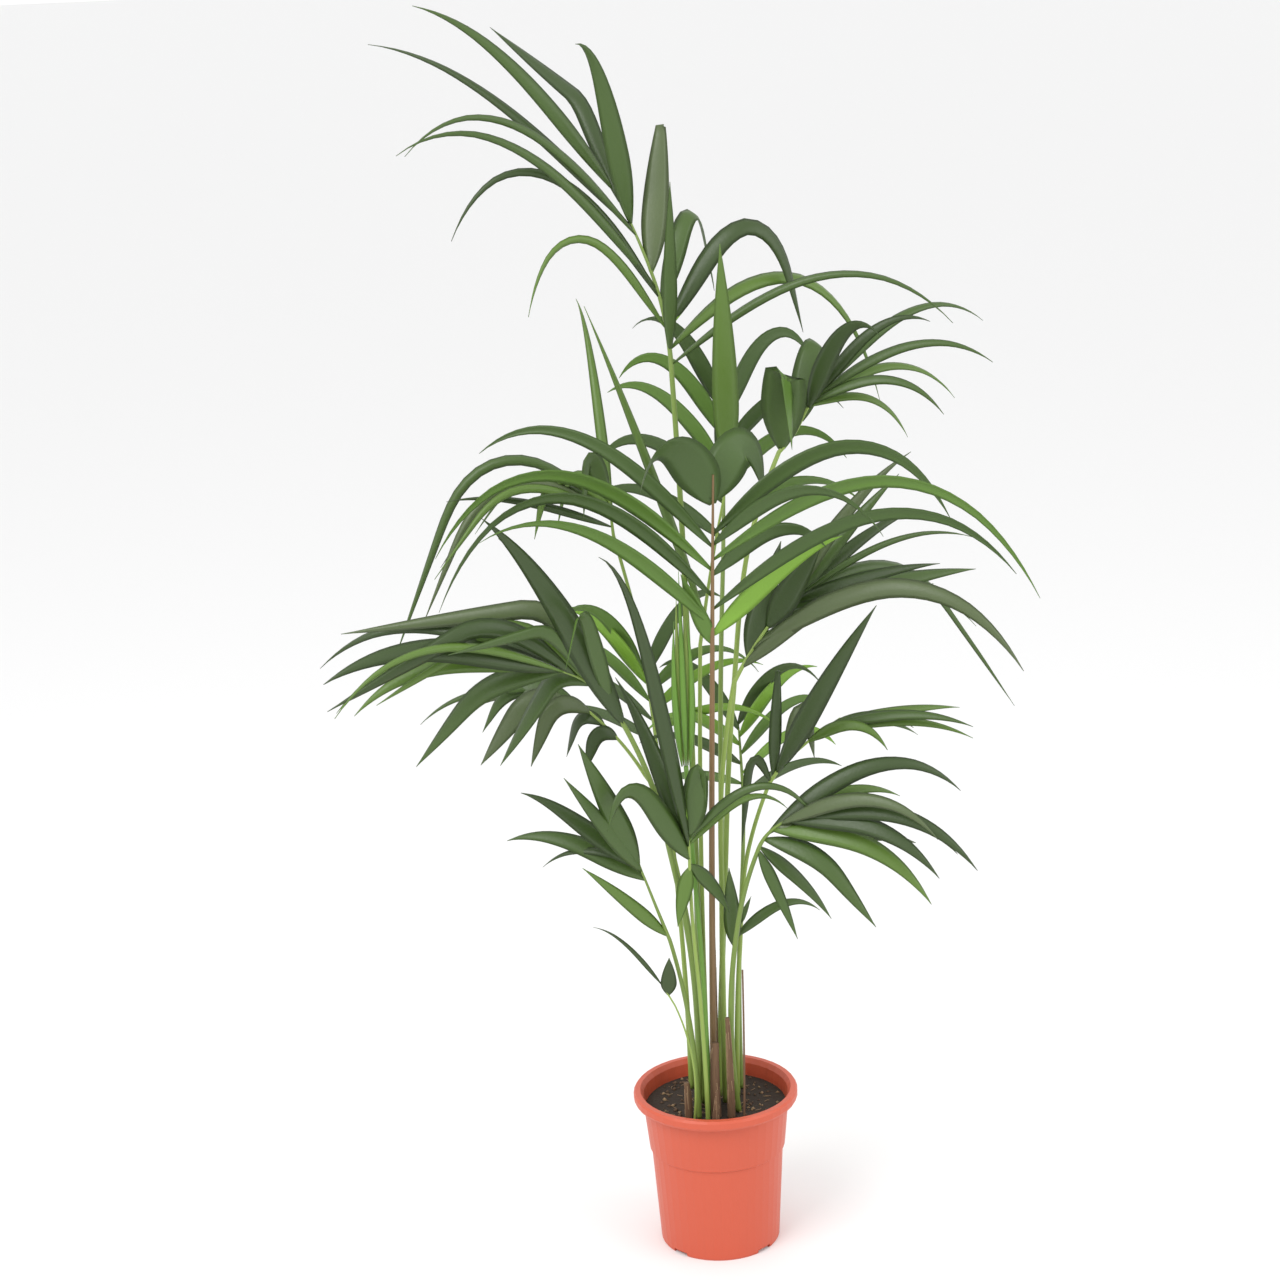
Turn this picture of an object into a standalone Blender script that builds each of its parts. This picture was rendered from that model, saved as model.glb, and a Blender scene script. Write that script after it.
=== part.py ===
"""A kentia palm in its plastic pot, in metres with +Z up.

The origin is the middle of the pot's flat underside. The viewer stands on the -Y side and has +X on the right.
"""

from collections import namedtuple

import bmesh
import bpy
import numpy as np
from mathutils.bvhtree import BVHTree

CLEAR = 0.0003  # gap left between solids that touch on the plant
UP = np.array((0.0, 0.0, 1.0))

POT_HEIGHT = 0.206
POT_WALL = 0.0025
POT_FLOOR = 0.004
# radius and height up the outside of the pot: foot, taper, step, band and rolled lip
POT_OUTSIDE = (
    (0.0755, 0.0), (0.0765, 0.002), (0.0845, 0.127), (0.0870, 0.129), (0.0935, 0.192),
    (0.1035, 0.193), (0.1050, 0.196), (0.1050, 0.203), (0.1030, 0.206),
)
POT_MOUTH = 0.0965
POT_SIDES = 44
NOTCH_COUNT = 4
NOTCH_WIDTH = 0.022
NOTCH_HEIGHT = 0.005
SOIL_TOP = 0.184
SOIL_SIDES = 40

STALK_SIDES = 6
RIB_TAPER = 0.7  # radius where the rib starts, as a share of that at the soil
TIP_RADIUS = 0.0012
SEAT = 0.015  # how far a frond's own solid reaches down its stalk
CURVE_STEPS = 16

PATH_STEPS = 20
BLADE_PLACES = (0.0, 0.12, 0.32, 0.55, 0.78, 1.0)
BLADE_SLENDERNESS = 88.0  # a blade's length over the height of its ridge
LEAST_WIDTH = 0.0018
BLADE_MARGIN = 0.0008  # how much larger a blade is while it is tried against its neighbours
LEANS = (0.22, -0.3, 0.38, -0.12, 0.3, -0.38, 0.1)
LEAN_TRIALS = (0.0, 0.12, -0.12, 0.24, -0.24, 0.36, -0.36, 0.48, -0.48, 0.6, -0.6)

LEAF_GREEN = (0.085, 0.155, 0.045)
STALK_GREEN = (0.30, 0.40, 0.11)
FIBRE_BROWN = (0.22, 0.14, 0.08)
POT_ORANGE = (0.74, 0.14, 0.07)
SOIL_BROWN = (0.06, 0.04, 0.028)

Frond = namedtuple("Frond", "name turn lean face girth stalk rib leaflets")
Stump = namedtuple("Stump", "name girth tip points")

# Each frond: the way its fan turns, how far its leaflets lean to the front, which way their upper side looks (1 to the
# front, -1 to the back), its stalk's radius at the soil, then points up the stalk and along the rib. Each leaflet: its
# place on the rib, its angle from upright with the right as plus, its length, its width, how far its own weight turns it
# down, and where along it that bend starts and ends.
FRONDS = (
    Frond("tall_left", 0, 0.0, 1, 0.0045,
          ((-0.016, 0.0), (-0.014, 0.005, 0.46), (-0.013, 0.02, 0.717), (-0.015, 0.045, 0.977), (-0.019, 0.06, 1.116)),
          ((-0.019, 0.06, 1.116), (-0.027, 0.075, 1.196), (-0.054, 0.10, 1.28), (-0.08, 0.125, 1.335)),
          ((0.05, 54, 0.39, 0.012, 1.5, 0.0, 1.0), (0.13, 46, 0.40, 0.020, 3.6, 0.0, 1.0),
           (0.12, 2, 0.22, 0.018, 0.0, 0.0, 1.0), (0.23, 32, 0.32, 0.025, 3.2, 0.2, 0.8),
           (0.23, -33, 0.29, 0.012, 3.0, 0.15, 1.0), (0.35, 16, 0.24, 0.026, 2.6, 0.3, 0.7),
           (0.39, -31, 0.36, 0.014, 2.0, 0.0, 1.0), (0.44, -37, 0.40, 0.014, 1.2, 0.0, 1.0),
           (0.53, 6, 0.215, 0.033, 3.0, 0.82, 0.9), (0.73, -40, 0.37, 0.012, 1.4, 0.0, 1.0),
           (0.76, -41, 0.40, 0.014, 0.65, 0.0, 1.0), (0.80, -9, 0.26, 0.028, 1.0, 0.2, 1.0),
           (0.93, -18, 0.33, 0.022, 0.62, 0.3, 0.45), (1.0, -35, 0.33, 0.020, 0.68, 0.0, 1.0))),
    Frond("upper_right", 0, 0.0, 1, 0.004,
          ((0.005, 0.02), (0.021, 0.03, 0.448), (0.041, 0.045, 0.707), (0.077, 0.07, 0.93), (0.11, 0.09, 1.01)),
          ((0.11, 0.09, 1.01), (0.13, 0.095, 1.032), (0.15, 0.10, 1.065), (0.166, 0.105, 1.082)),
          ((0.05, 3, 0.20, 0.055, 2.6, 0.4, 0.6), (0.5, 10, 0.15, 0.038, 2.4, 0.35, 0.9),
           (0.7, 20, 0.18, 0.025, 1.3, 0.0, 1.0), (0.72, 72, 0.15, 0.012, 2.4, 0.0, 1.0),
           (0.78, 66, 0.185, 0.014, 1.7, 0.0, 1.0), (0.85, 60, 0.22, 0.014, 1.6, 0.0, 1.0),
           (0.9, 37, 0.18, 0.016, 1.1, 0.0, 1.0), (0.93, 58, 0.235, 0.014, 1.2, 0.0, 1.0),
           (1.0, 43, 0.265, 0.014, 1.3, 0.0, 1.0))),
    Frond("middle", 0, 0.1, -1, 0.0045,
          ((-0.003, -0.02), (0.004, -0.025, 0.47), (0.009, -0.035, 0.63), (0.013, -0.05, 0.749)),
          ((0.013, -0.05, 0.749), (0.018, -0.085, 0.918), (0.021, -0.12, 1.027)),
          ((0.21, -22, 0.105, 0.020, 0.0, 0.0, 1.0), (0.25, 46, 0.20, 0.026, 0.5, 0.0, 1.0),
           (0.30, -44, 0.37, 0.020, 1.0, 0.0, 1.0), (0.37, 53, 0.42, 0.020, 1.7, 0.0, 1.0),
           (0.43, -42, 0.46, 0.020, 2.1, 0.0, 1.0), (0.53, 48, 0.17, 0.022, 1.6, 0.0, 1.0),
           (0.55, -45, 0.41, 0.020, 1.9, 0.0, 1.0), (0.60, 56, 0.47, 0.020, 2.2, 0.0, 1.0),
           (0.66, -40, 0.34, 0.020, 1.3, 0.0, 1.0), (0.67, 50, 0.26, 0.020, 1.7, 0.0, 1.0),
           (0.72, 47, 0.35, 0.022, 2.2, 0.0, 1.0), (0.86, -24, 0.175, 0.055, 2.2, 0.0, 1.0),
           (0.88, 22, 0.15, 0.050, 2.8, 0.15, 0.8))),
    Frond("right", 0, 0.0, 1, 0.004,
          ((0.013, 0.0), (0.017, 0.0, 0.46), (0.023, 0.005, 0.621), (0.042, 0.02, 0.736)),
          ((0.042, 0.02, 0.736), (0.068, 0.03, 0.777), (0.103, 0.04, 0.819), (0.135, 0.05, 0.843)),
          ((0.15, 50, 0.20, 0.020, 0.6, 0.0, 1.0), (0.25, 18, 0.15, 0.032, 0.0, 0.0, 1.0),
           (0.33, 57, 0.40, 0.028, 1.9, 0.0, 1.0), (0.45, 60, 0.305, 0.012, 1.6, 0.0, 1.0),
           (0.55, 32, 0.135, 0.035, 0.1, 0.0, 1.0), (0.6, 53, 0.47, 0.018, 1.75, 0.0, 0.6),
           (0.65, 33, 0.27, 0.020, 0.5, 0.0, 1.0), (0.66, 78, 0.20, 0.012, 0.1, 0.0, 1.0),
           (0.72, 76, 0.265, 0.030, 0.2, 0.0, 1.0), (0.83, 72, 0.20, 0.020, 0.25, 0.0, 1.0),
           (0.85, 39, 0.205, 0.020, 0.2, 0.0, 1.0), (0.93, 56, 0.24, 0.010, 0.8, 0.0, 1.0),
           (0.95, 48, 0.195, 0.018, 0.5, 0.0, 1.0))),
    Frond("left", 0, 0.1, 1, 0.0045,
          ((-0.024, -0.02), (-0.024, -0.03, 0.393), (-0.044, -0.05, 0.534), (-0.072, -0.085, 0.665), (-0.092, -0.1, 0.718)),
          ((-0.092, -0.1, 0.718), (-0.102, -0.105, 0.738), (-0.121, -0.115, 0.771), (-0.155, -0.13, 0.799),
           (-0.184, -0.14, 0.81)),
          ((0.05, -24, 0.34, 0.034, 0.5, 0.0, 1.0), (0.14, -24, 0.26, 0.030, 0.6, 0.0, 1.0),
           (0.27, -12, 0.225, 0.020, 1.5, 0.45, 0.75), (0.37, -25, 0.37, 0.024, 0.95, 0.05, 0.4),
           (0.52, -30, 0.24, 0.018, 0.85, 0.1, 0.5), (0.55, -62, 0.18, 0.030, 1.8, 0.0, 0.35),
           (0.60, -38, 0.30, 0.020, 1.1, 0.0, 0.5), (0.70, -45, 0.345, 0.024, 1.0, 0.0, 0.5),
           (0.78, -62, 0.33, 0.020, 1.3, 0.0, 1.0), (0.80, -66, 0.32, 0.012, 1.5, 0.0, 1.0),
           (0.85, -92, 0.22, 0.030, 1.1, 0.0, 0.6), (0.87, -72, 0.295, 0.034, 0.86, 0.0, 1.0),
           (0.92, -76, 0.30, 0.024, 1.3, 0.0, 1.0), (1.0, -80, 0.24, 0.024, 1.2, 0.0, 1.0))),
    Frond("left_low", 0, 0.0, 1, 0.0035,
          ((-0.018, 0.01), (-0.021, 0.01, 0.377), (-0.04, 0.01, 0.512), (-0.061, 0.0, 0.609), (-0.073, 0.0, 0.629)),
          ((-0.073, 0.0, 0.629), (-0.125, 0.02, 0.694), (-0.155, 0.03, 0.718), (-0.184, 0.04, 0.729)),
          ((0.35, -50, 0.075, 0.020, 3.0, 0.0, 0.6), (0.50, -50, 0.09, 0.020, 3.0, 0.0, 0.6),
           (0.65, -55, 0.13, 0.024, 2.5, 0.0, 0.6), (0.80, -60, 0.15, 0.026, 2.0, 0.0, 0.8),
           (0.85, -80, 0.15, 0.030, 1.4, 0.0, 0.5), (0.95, -85, 0.20, 0.010, 1.6, 0.0, 1.0),
           (1.0, -82, 0.175, 0.010, 1.1, 0.0, 1.0))),
    Frond("lower_left", 0, 0.1, 1, 0.0035,
          ((-0.023, -0.045), (-0.034, -0.05, 0.345), (-0.051, -0.06, 0.433)),
          ((-0.051, -0.06, 0.433), (-0.067, -0.065, 0.482), (-0.078, -0.07, 0.517), (-0.086, -0.075, 0.542)),
          ((0.05, -44, 0.155, 0.018, 0.1, 0.0, 1.0), (0.77, -56, 0.185, 0.026, 0.85, 0.0, 1.0),
           (0.88, -34, 0.185, 0.022, 0.0, 0.0, 1.0), (0.92, -50, 0.175, 0.024, 0.45, 0.5, 1.0),
           (0.97, -22, 0.20, 0.030, 0.0, 0.0, 1.0), (1.0, -70, 0.13, 0.010, 1.2, 0.0, 1.0))),
    Frond("front_low", 0, 0.0, 1, 0.003,
          ((-0.012, -0.055), (-0.016, -0.055, 0.349), (-0.022, -0.06, 0.458), (-0.023, -0.065, 0.525)),
          ((-0.023, -0.065, 0.525), (-0.023, -0.07, 0.572), (-0.024, -0.075, 0.60)),
          ((0.05, -165, 0.075, 0.020, 0.5, 0.0, 1.0), (0.10, 135, 0.09, 0.020, 1.0, 0.0, 1.0),
           (0.20, -30, 0.20, 0.030, 2.2, 0.4, 0.9), (0.30, -16, 0.235, 0.024, 0.5, 0.0, 1.0),
           (0.40, -9, 0.46, 0.020, 0.85, 0.2, 1.0), (0.45, 45, 0.165, 0.012, 1.6, 0.0, 1.0),
           (0.55, 42, 0.20, 0.012, 2.0, 0.0, 1.0), (0.60, 10, 0.135, 0.034, 3.0, 0.6, 0.8))),
    Frond("lower_right", 0, 0.1, 1, 0.004,
          ((0.028, -0.03), (0.03, -0.045, 0.416), (0.044, -0.06, 0.494), (0.06, -0.075, 0.548)),
          ((0.06, -0.075, 0.548), (0.071, -0.08, 0.57), (0.086, -0.085, 0.585), (0.103, -0.09, 0.595)),
          ((0.05, 158, 0.118, 0.016, 0.2, 0.0, 1.0), (0.12, 132, 0.14, 0.018, 0.6, 0.0, 1.0),
           (0.30, 103, 0.18, 0.026, 1.1, 0.0, 0.6), (0.45, 50, 0.27, 0.024, 1.5, 0.0, 1.0),
           (0.55, 92, 0.225, 0.028, 1.6, 0.0, 1.0), (0.60, 60, 0.175, 0.020, 1.0, 0.0, 1.0),
           (0.65, 93, 0.17, 0.030, 0.3, 0.0, 1.0), (0.75, 64, 0.22, 0.020, 1.5, 0.0, 1.0),
           (0.85, 72, 0.185, 0.022, 1.3, 0.0, 1.0), (0.90, 88, 0.21, 0.026, 1.4, 0.0, 1.0),
           (0.95, 82, 0.23, 0.024, 1.4, 0.0, 1.0), (1.0, 80, 0.25, 0.024, 1.5, 0.0, 1.0))),
    Frond("small_right", 0, 0.0, 1, 0.0035,
          ((0.029, 0.02), (0.038, 0.02, 0.383), (0.053, 0.02, 0.517), (0.081, 0.03, 0.597)),
          ((0.081, 0.03, 0.597), (0.103, 0.035, 0.626), (0.123, 0.04, 0.642), (0.175, 0.05, 0.676)),
          ((0.05, -23, 0.155, 0.014, 4.0, 0.1, 0.45), (0.10, 5, 0.16, 0.016, 3.0, 0.82, 0.9),
           (0.16, 28, 0.28, 0.028, 0.15, 0.0, 1.0), (0.33, 16, 0.135, 0.024, 3.0, 0.35, 0.6),
           (0.60, 58, 0.12, 0.016, 2.0, 0.0, 1.0), (0.70, 74, 0.15, 0.014, 1.0, 0.0, 1.0),
           (0.75, 66, 0.125, 0.014, 1.2, 0.0, 1.0), (0.80, 82, 0.19, 0.014, 0.7, 0.0, 1.0),
           (0.85, 79, 0.18, 0.016, 0.3, 0.0, 1.0), (0.88, 80, 0.185, 0.016, 0.6, 0.0, 1.0))),
    Frond("upper_left", 0, 0.0, 1, 0.003,
          ((-0.018, 0.03), (-0.014, 0.03, 0.45), (-0.042, 0.05, 0.651), (-0.071, 0.08, 0.793), (-0.099, 0.10, 0.912)),
          ((-0.099, 0.10, 0.912), (-0.101, 0.10, 0.938), (-0.103, 0.10, 0.963)),
          ((0.20, -69, 0.215, 0.012, 0.5, 0.0, 1.0), (0.30, -4, 0.31, 0.014, 0.88, 0.0, 1.0),
           (0.40, -56, 0.29, 0.012, 1.5, 0.0, 0.7), (0.45, -54, 0.28, 0.014, 1.7, 0.0, 0.7),
           (0.50, -56, 0.35, 0.014, 2.2, 0.0, 0.7), (0.55, -53, 0.23, 0.014, 1.6, 0.0, 0.8),
           (0.60, -47, 0.45, 0.014, 2.4, 0.0, 0.6), (0.75, -48, 0.16, 0.016, 3.5, 0.15, 0.8),
           (0.85, -40, 0.13, 0.018, 3.5, 0.15, 0.7), (1.0, -20, 0.135, 0.024, 4.0, 0.3, 0.6))),
    Frond("centre_high", 0, 0.0, 1, 0.0035,
          ((-0.008, 0.04), (0.0, 0.045, 0.709), (0.003, 0.05, 0.779)),
          ((0.003, 0.05, 0.779), (0.027, 0.05, 0.911), (0.043, 0.05, 0.986), (0.049, 0.05, 1.023)),
          ((0.15, -18, 0.47, 0.013, 0.15, 0.0, 1.0), (0.85, 0, 0.155, 0.026, 0.0, 0.0, 1.0),
           (0.90, -1, 0.30, 0.032, 0.0, 0.0, 1.0))),
    Frond("young_right", 0, 0.0, 1, 0.003,
          ((0.018, -0.012), (0.029, -0.02, 0.402)),
          ((0.029, -0.02, 0.402), (0.032, -0.02, 0.416), (0.036, -0.02, 0.432)),
          ((0.1, -2, 0.115, 0.022, 0.0, 0.0, 1.0), (0.5, 50, 0.13, 0.014, 1.4, 0.0, 1.0),
           (1.0, 22, 0.05, 0.008, 0.0, 0.0, 1.0))),
    Frond("young_left", 0, 0.0, 1, 0.0015,
          ((-0.03, -0.06), (-0.032, -0.065, 0.294), (-0.048, -0.07, 0.35)),
          ((-0.048, -0.07, 0.35), (-0.057, -0.07, 0.367), (-0.063, -0.07, 0.378)),
          ((0.5, 3, 0.055, 0.020, 0.0, 0.0, 1.0), (1.0, -36, 0.115, 0.006, 0.75, 0.0, 1.0))),
    Frond("back_high", 180, 0.0, 1, 0.004,
          ((0.012, 0.045), (0.02, 0.08, 0.45), (0.03, 0.13, 0.72), (0.04, 0.18, 0.86)),
          ((0.04, 0.18, 0.86), (0.045, 0.22, 0.94), (0.05, 0.27, 1.0), (0.05, 0.31, 1.03)),
          tuple((0.1 + 0.11 * i, (-1) ** i * (52 - 4 * i), 0.2 + 0.01 * (i % 3), 0.024, 1.2 + 0.2 * (i % 4), 0.0, 1.0)
                for i in range(9))),
    Frond("back_left", 180, 0.1, 1, 0.0035,
          ((-0.03, 0.045), (-0.035, 0.09, 0.4), (-0.045, 0.14, 0.54), (-0.055, 0.19, 0.60)),
          ((-0.055, 0.19, 0.60), (-0.06, 0.23, 0.64), (-0.065, 0.27, 0.67), (-0.07, 0.30, 0.68)),
          tuple((0.1 + 0.11 * i, (-1) ** i * (64 - 5 * i), 0.17 + 0.01 * (i % 3), 0.022, 1.0 + 0.3 * (i % 3), 0.0, 1.0)
                for i in range(9))),
    Frond("back_right", 180, 0.1, 1, 0.0035,
          ((0.035, 0.04), (0.04, 0.085, 0.36), (0.05, 0.125, 0.47), (0.055, 0.165, 0.53)),
          ((0.055, 0.165, 0.53), (0.055, 0.20, 0.57), (0.055, 0.235, 0.60), (0.055, 0.265, 0.61)),
          tuple((0.1 + 0.11 * i, (-1) ** (i + 1) * (66 - 5 * i), 0.15 + 0.01 * (i % 3), 0.022, 1.0 + 0.3 * (i % 3), 0.0, 1.0)
                for i in range(9))),
)

# What stands among the stalks: each has its radius at the soil and at its tip, and points up its middle.
STUMPS = (
    Stump("old_stem", 0.0048, 0.0035, ((0.0, -0.001), (0.002, 0.0, 0.30), (0.004, 0.001, 0.42))),
    Stump("old_sheath_front", 0.007, 0.005, ((-0.001, -0.043), (-0.001, -0.043, 0.24), (0.001, -0.042, 0.285))),
    Stump("old_sheath_right", 0.0055, 0.003, ((0.018, -0.046), (0.018, -0.047, 0.26), (0.017, -0.046, 0.32))),
    Stump("bud", 0.0055, 0.0012, ((-0.003, -0.066), (-0.002, -0.067, 0.20), (0.0, -0.067, 0.232))),
    Stump("stub", 0.0055, 0.004, ((-0.036, -0.04), (-0.036, -0.041, 0.215), (-0.037, -0.041, 0.232))),
    Stump("dead_stick", 0.0015, 0.0012, ((0.034, -0.05), (0.037, -0.05, 0.30), (0.038, -0.05, 0.385))),
)
SPEAR_STALK = ((-0.0085, -0.036), (-0.012, -0.036, 0.40), (-0.02, -0.037, 0.58), (-0.022, -0.038, 0.65))
SPEAR_GIRTH = 0.003
SPEAR_LENGTH = 0.245
SPEAR_WIDTH = 0.028
SPEAR_DEPTH = 0.012


def unit(vector):
    return vector / np.linalg.norm(vector)


def clear_scene():
    for obj in list(bpy.data.objects):
        bpy.data.objects.remove(obj, do_unlink=True)


def material(name, colour, roughness):
    made = bpy.data.materials.new(name)
    made.use_nodes = True
    shader = made.node_tree.nodes["Principled BSDF"]
    shader.inputs["Base Color"].default_value = (*colour, 1.0)
    shader.inputs["Roughness"].default_value = roughness
    return made


def mesh_object(name, points, faces, surface, collection=None, smooth=True):
    mesh = bpy.data.meshes.new(name)
    mesh.from_pydata([tuple(float(v) for v in point) for point in points], [], faces)
    mesh.update()
    made = bpy.data.objects.new(name, mesh)
    made.data.materials.append(surface)
    (collection or bpy.context.scene.collection).objects.link(made)
    for face in mesh.polygons:
        face.use_smooth = smooth
    return made


def smooth_curve(points, steps):
    """A curve through the points: a cubic between each two, its slopes taken from their neighbours."""
    points = np.asarray(points, float)
    knots = np.concatenate([[0.0], np.cumsum(np.linalg.norm(np.diff(points, axis=0), axis=1))])
    slopes = np.gradient(points, knots, axis=0, edge_order=1)
    if len(points) > 2:
        slopes[0] = 2 * (points[1] - points[0]) / (knots[1] - knots[0]) - slopes[1]
        slopes[-1] = 2 * (points[-1] - points[-2]) / (knots[-1] - knots[-2]) - slopes[-2]
    rows = []
    for place in np.linspace(0.0, knots[-1], steps + 1):
        i = min(int(np.searchsorted(knots, place, side="right")) - 1, len(points) - 2)
        span = knots[i + 1] - knots[i]
        u = (place - knots[i]) / span
        rows.append(
            (2 * u**3 - 3 * u**2 + 1) * points[i]
            + (u**3 - 2 * u**2 + u) * span * slopes[i]
            + (3 * u**2 - 2 * u**3) * points[i + 1]
            + (u**3 - u**2) * span * slopes[i + 1]
        )
    return np.array(rows)


def reaches(curve):
    """How far along the curve each of its points lies."""
    return np.concatenate([[0.0], np.cumsum(np.linalg.norm(np.diff(curve, axis=0), axis=1))])


def point_at(curve, distance):
    reach = reaches(curve)
    return np.array([np.interp(distance, reach, curve[:, axis]) for axis in range(3)])


def stretch(curve, start, end):
    """The part of a curve between two distances along it."""
    inside = [point for point, reach in zip(curve, reaches(curve)) if start + 0.002 < reach < end - 0.002]
    return np.array([point_at(curve, start), *inside, point_at(curve, end)])


def frames_along(path, upper):
    """Across and upper directions at each point, carried along the path without a twist."""
    rows = []
    for i in range(len(path)):
        ahead = unit(path[min(i + 1, len(path) - 1)] - path[max(i - 1, 0)])
        upper = unit(upper - ahead * upper.dot(ahead))
        rows.append((np.cross(ahead, upper), upper))
    return rows


def ring_faces(rings, sides):
    """Faces of a closed shape made of rings with the same number of points."""
    faces = [tuple(range(sides))]
    for i in range(rings - 1):
        for j in range(sides):
            k = (j + 1) % sides
            faces.append((i * sides + j, (i + 1) * sides + j, (i + 1) * sides + k, i * sides + k))
    faces.append(tuple(reversed(range((rings - 1) * sides, rings * sides))))
    return faces


def above_soil(point):
    return np.array((point[0], point[1], max(point[2], SOIL_TOP + CLEAR)))


def tube(path, radii, sides=STALK_SIDES):
    """Points and faces of a closed round bar along the path."""
    points = []
    for centre, radius, (across, upper) in zip(path, radii, frames_along(path, np.array((0.0, -1.0, 0.1)))):
        for j in range(sides):
            angle = 2 * np.pi * j / sides
            points.append(above_soil(centre + radius * (np.cos(angle) * across + np.sin(angle) * upper)))
    return points, ring_faces(len(path), sides)


def blade_width(u):
    """Width at u along a leaflet, as a share of its widest."""
    if u < 0.32:
        return 0.15 + 0.85 * (1.0 - (1.0 - u / 0.32) ** 2)
    return 1.0 - ((u - 0.32) / 0.68) ** 1.7


def leaflet_path(root, start, length, droop, bend_from, bend_to):
    """Points along a leaflet that sets out straight and is turned down between the two ends of its bend."""
    points = [root]
    for i in range(PATH_STEPS):
        u = (i + 0.5) / PATH_STEPS
        share = min(max((u - bend_from) / (bend_to - bend_from), 0.0), 1.0)
        points.append(points[-1] + unit(start - droop * share**2 * UP) * (length / PATH_STEPS))
    return np.array(points)


def blade(path, upper, length, width, bend_from, bend_to, margin=0.0):
    """Points and faces of a leaflet: a three-sided bar with its ridge along the upper side."""
    middle = (bend_from + bend_to) / 2
    places = list(BLADE_PLACES)
    if bend_to - bend_from < 0.65:
        places += [bend_from, middle, bend_to]
    kept = []
    for place in sorted(set(places)):
        if not kept or place - kept[-1] > 0.035:
            kept.append(place)
    kept[-1] = 1.0
    line = np.array([point_at(path, place * length) for place in kept])
    points = []
    for u, centre, (across, over) in zip(kept, line, frames_along(line, upper)):
        half = max(width * blade_width(u), LEAST_WIDTH) / 2 + margin
        ridge = length / BLADE_SLENDERNESS * (1.0 - 0.45 * u) + margin
        points += [centre - across * half - over * margin, centre + across * half - over * margin, centre + over * ridge]
    return points, ring_faces(len(kept), 3)


def fan_directions(frond):
    """The way a frond's fan spreads to the right and the way it faces."""
    turn = np.radians(frond.turn)
    side = np.array((np.cos(turn), np.sin(turn), 0.0))
    front = np.array((0.97 * np.sin(turn), -0.97 * np.cos(turn), 0.25))
    return side, front


def stalk_points(points):
    """A stalk's points, with the first, which has no height, on the soil."""
    return ((*points[0], SOIL_TOP + CLEAR), *points[1:])


def stalk_and_rib(frond):
    """A frond's stalk and rib as two tubes that meet a hair apart, and the curve its leaflets grow from."""
    stalk = smooth_curve(stalk_points(frond.stalk), CURVE_STEPS)
    rib = smooth_curve(frond.rib, CURVE_STEPS // 2)
    total = reaches(stalk)[-1]
    lower = stretch(stalk, 0.0, total - SEAT - CLEAR)
    seat = stretch(stalk, total - SEAT, total)[:-1]
    upper = np.concatenate([seat, rib])
    at_rib = frond.girth * RIB_TAPER
    lower_radii = np.linspace(frond.girth, at_rib, len(lower))
    upper_radii = np.linspace(at_rib, TIP_RADIUS, len(upper))
    return tube(lower, lower_radii), tube(upper, upper_radii), rib


def tree_of(shape):
    points, faces = shape
    return BVHTree.FromPolygons([tuple(point) for point in points], faces)


def grow_leaflets(frond, rib, taken):
    """Each leaflet of a frond, leant forward or back until it clears everything in taken."""
    side, front = fan_directions(frond)
    length_of_rib = reaches(rib)[-1]
    grown = []
    for i, (place, angle, length, width, droop, bend_from, bend_to) in enumerate(frond.leaflets):
        root = point_at(rib, place * length_of_rib)
        slope = np.radians(angle)
        for trial in LEAN_TRIALS:
            lean = LEANS[i % len(LEANS)] + frond.lean + trial
            start = unit(np.cos(slope) * UP + np.sin(slope) * side + lean * front)
            path = leaflet_path(root, start, length, droop, bend_from, bend_to)
            upper = frond.face * front + 0.5 * UP
            tried = tree_of(blade(path, upper, length, width, bend_from, bend_to, BLADE_MARGIN))
            if not any(tried.overlap(tree) for tree in taken):
                grown.append(blade(path, upper, length, width, bend_from, bend_to))
                break
    return grown


def largest_piece(mesh):
    """Leaves only the largest connected piece of a mesh."""
    body = bmesh.new()
    body.from_mesh(mesh)
    body.verts.ensure_lookup_table()
    seen, pieces = set(), []
    for vert in body.verts:
        if vert in seen:
            continue
        piece, queue = set(), [vert]
        while queue:
            here = queue.pop()
            if here in piece:
                continue
            piece.add(here)
            queue += [edge.other_vert(here) for edge in here.link_edges]
        seen |= piece
        pieces.append(piece)
    largest = max(pieces, key=len)
    bmesh.ops.delete(body, geom=[vert for vert in body.verts if vert not in largest], context="VERTS")
    body.to_mesh(mesh)
    body.free()


def fused(name, core, leaflets, surface):
    """The rib and its leaflets as one solid."""
    collection = bpy.data.collections.new(name + "_leaflets")
    bpy.context.scene.collection.children.link(collection)
    for i, (points, faces) in enumerate(leaflets):
        mesh_object(f"{name}_leaflet_{i}", points, faces, surface, collection)
    made = mesh_object(name, *core, surface)
    join = made.modifiers.new("Join", "BOOLEAN")
    join.operation = "UNION"
    join.operand_type = "COLLECTION"
    join.collection = collection
    join.solver = "MANIFOLD"
    bpy.context.view_layer.update()
    graph = bpy.context.evaluated_depsgraph_get()
    joined = bpy.data.meshes.new_from_object(made.evaluated_get(graph))
    made.modifiers.clear()
    made.data = joined
    for obj in list(collection.objects):
        bpy.data.objects.remove(obj, do_unlink=True)
    bpy.data.collections.remove(collection)
    largest_piece(joined)
    return made


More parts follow.
